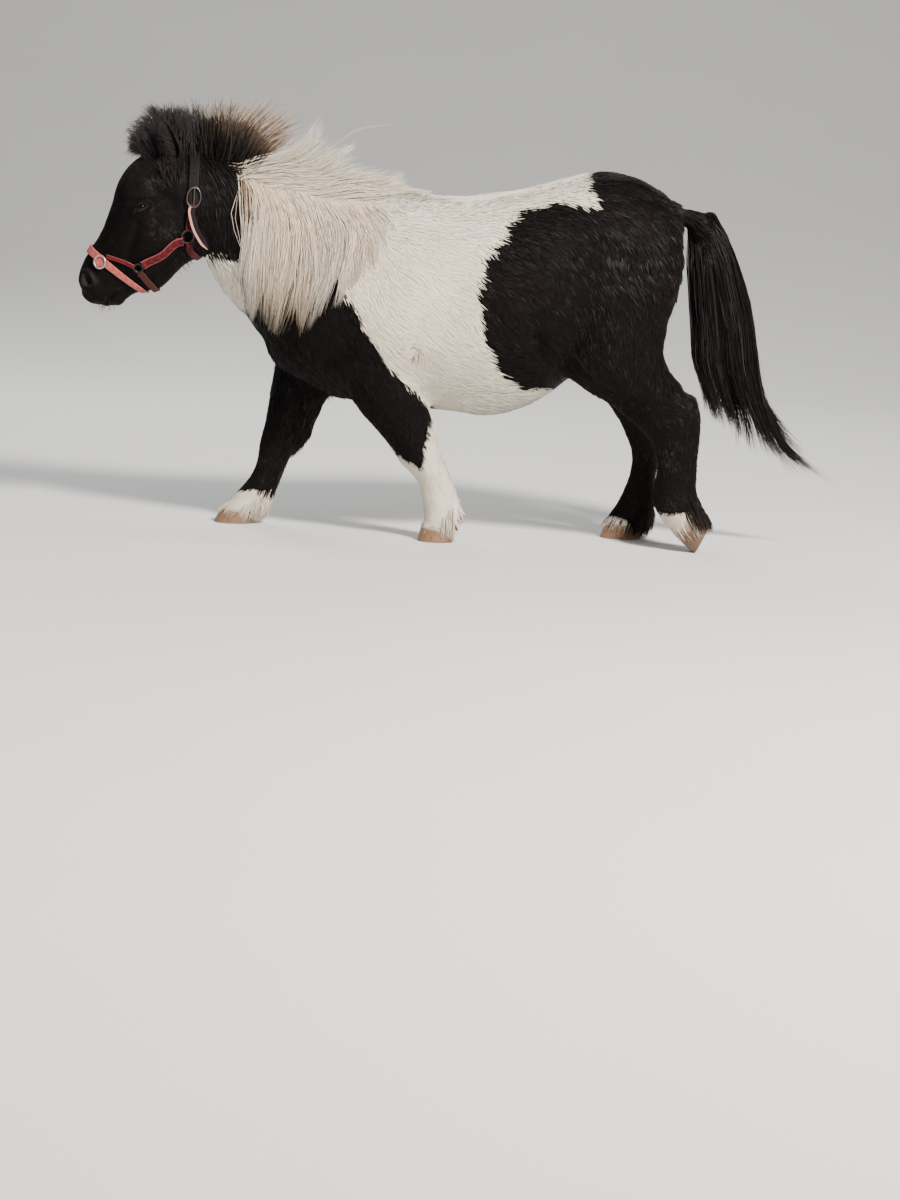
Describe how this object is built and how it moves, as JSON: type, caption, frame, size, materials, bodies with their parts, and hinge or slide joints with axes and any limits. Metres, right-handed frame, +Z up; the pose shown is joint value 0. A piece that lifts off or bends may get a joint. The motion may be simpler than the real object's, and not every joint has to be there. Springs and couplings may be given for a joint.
{
  "type": "shetland pony",
  "caption": "Life-size still model of a small piebald Shetland pony walking, in thick winter coat with a full mane and tail, wearing a webbing head collar.",
  "frame": {"origin": "middle of the model's bounding box in plan, on the floor", "axes": "the pony walks towards -X, its left side is towards -Y, +Z is up"},
  "size_m": [1.8462, 0.438, 1.0324],
  "materials": {
    "black_coat": "thick black winter coat, slightly glossy hair",
    "white_coat": "thick white winter coat, matt hair",
    "hoof_horn": "pale pinkish tan horn with fine growth rings",
    "eye": "wet dark brown",
    "webbing": "woven pink and red patterned webbing",
    "strap_leather": "black leather, slightly worn",
    "ring_metal": "dull plated steel"
  },
  "bodies": {
    "root": {"torso": "white_coat", "neck": "white_coat", "eye_left": "eye", "ear_left": "black_coat", "eye_right": "eye", "ear_right": "black_coat", "head": "black_coat", "foreleg_left_upper": "black_coat", "foreleg_left_lower": "black_coat", "hoof_fore_left": "hoof_horn", "foreleg_right_upper": "black_coat", "foreleg_right_lower": "black_coat", "hoof_fore_right": "hoof_horn", "hindleg_left_upper": "black_coat", "hindleg_left_lower": "black_coat", "hoof_hind_left": "hoof_horn", "hindleg_right_upper": "black_coat", "hindleg_right_lower": "black_coat", "hoof_hind_right": "hoof_horn", "tail": "black_coat", "halter_cheek_ring_left": "ring_metal", "halter_lower_ring_left": "ring_metal", "halter_nose_slide_left": "ring_metal", "halter_buckle_left": "ring_metal", "halter_cheek_ring_right": "ring_metal", "halter_lower_ring_right": "ring_metal", "halter_nose_slide_right": "ring_metal", "halter_buckle_right": "ring_metal", "halter_noseband": "webbing", "halter_crown_strap": "strap_leather", "halter_chin_strap": "webbing", "halter_throat_strap": "webbing", "halter_cheekpiece_left": "webbing", "halter_cheek_tab_left": "webbing", "halter_nose_tab_left": "webbing", "halter_cheekpiece_right": "webbing", "halter_cheek_tab_right": "webbing", "halter_nose_tab_right": "webbing", "halter_strap_end": "strap_leather"}
  },
  "joints": []
}
